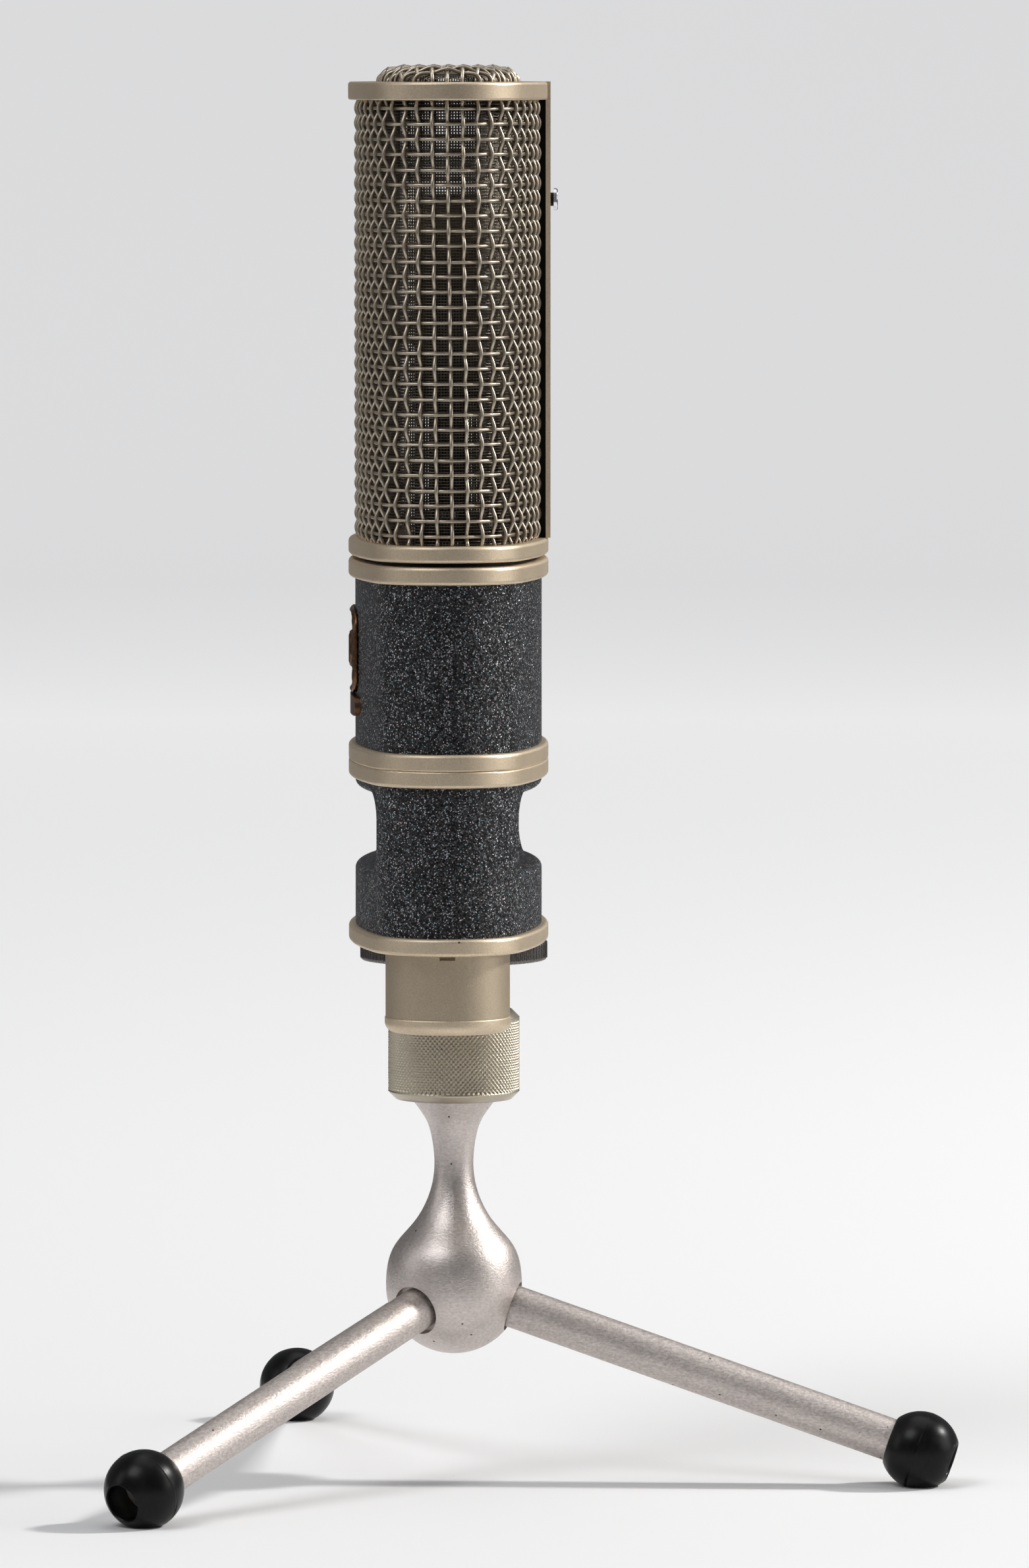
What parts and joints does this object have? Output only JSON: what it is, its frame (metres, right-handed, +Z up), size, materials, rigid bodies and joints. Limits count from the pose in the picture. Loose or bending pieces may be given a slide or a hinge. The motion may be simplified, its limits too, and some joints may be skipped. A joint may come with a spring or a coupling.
{
  "type": "condenser microphone",
  "caption": "Flat side-address condenser microphone with a woven wire basket and a window through its lower body, on a ball-hub desk tripod.",
  "frame": {"origin": "on the surface under the stand's vertical axis, midway between the three feet", "axes": "+Z up along the stand's axis, -Y out of the microphone's front, +X towards its connector"},
  "size_m": [0.1382, 0.1316, 0.2212],
  "materials": {
    "stand_metal": "satin nickel, turned and lightly brushed",
    "foot_rubber": "satin moulded",
    "nut_metal": "satin champagne, diamond knurled",
    "dark_metal": "dark, straight knurled",
    "steel": "plain zinc plated",
    "trim_nickel": "satin champagne nickel",
    "deck_metal": "plain machined",
    "connector_plastic": "moulded black",
    "pin_silver": "silver plated",
    "wire_insulation": "smooth insulation",
    "sparkle_paint": "charcoal with fine metal flake",
    "badge_bronze": "aged bronze",
    "board": "green solder mask",
    "copper_winding": "enamelled copper",
    "black_rubber": "matte",
    "mesh_wire": "champagne plated wire",
    "fine_mesh": "fine plated wire",
    "screw_chrome": "polished",
    "capsule_brass": "machined brass",
    "diaphragm_gold": "sputtered film"
  },
  "bodies": {
    "tripod": {"tripod_hub": "stand_metal", "leg_1": "stand_metal", "leg_2": "stand_metal", "leg_3": "stand_metal", "foot_1": "foot_rubber", "foot_2": "foot_rubber", "foot_3": "foot_rubber"},
    "nut": {"stand_nut": "nut_metal"},
    "microphone": {"mount_post": "steel", "post_screws": "steel", "base_plate": "deck_metal", "base_screws": "steel", "bottom_ring": "trim_nickel", "xlr_shell": "trim_nickel", "xlr_end_ring": "trim_nickel", "xlr_insert": "connector_plastic", "xlr_pins": "pin_silver", "xlr_wires": "wire_insulation", "lower_body": "sparkle_paint", "mid_ring_lower": "trim_nickel", "lower_deck": "deck_metal", "mid_ring_upper": "trim_nickel", "bulkhead": "deck_metal", "joint_screws": "steel", "upper_body": "sparkle_paint", "badge_plate": "badge_bronze", "badge_bar": "badge_bronze", "circuit_board": "board", "board_brackets": "steel", "board_screws": "steel", "board_connector": "connector_plastic", "capacitors": "connector_plastic", "transistors": "connector_plastic", "transformer_core": "steel", "transformer_coil": "copper_winding", "body_top_ring": "trim_nickel", "body_deck": "deck_metal", "groove_gasket": "black_rubber", "basket_base_ring": "trim_nickel", "basket_floor": "deck_metal", "basket_screws": "steel", "basket_rods": "steel", "outer_mesh": "mesh_wire", "inner_mesh": "fine_mesh", "top_ring": "trim_nickel", "top_mesh": "mesh_wire", "rear_strip": "trim_nickel", "strip_backing": "black_rubber", "rear_spacer": "black_rubber", "rear_screw": "screw_chrome", "capsule_ring": "capsule_brass", "capsule_backplate": "capsule_brass", "diaphragms": "diaphragm_gold", "clamp_rings": "capsule_brass", "clamp_screws": "steel", "capsule_saddle": "connector_plastic", "saddle_damper": "black_rubber", "saddle_screws": "steel", "capsule_leads": "wire_insulation"},
    "lock_ring": {"lock_ring": "dark_metal"}
  },
  "joints": [
    {"name": "nut_turn", "type": "hinge", "parent": "tripod", "child": "nut", "pos_m": [0, 0, 0.0666], "axis": [0, 0, 1], "range_deg": [0, 360]},
    {"name": "microphone_turn", "type": "hinge", "parent": "nut", "child": "microphone", "pos_m": [0, 0, 0.07], "axis": [0, 0, 1], "range_deg": [-180, 180]},
    {"name": "lock_ring_turn", "type": "hinge", "parent": "microphone", "child": "lock_ring", "pos_m": [0, 0, 0.083], "axis": [0, 0, 1], "range_deg": [0, 360]}
  ]
}
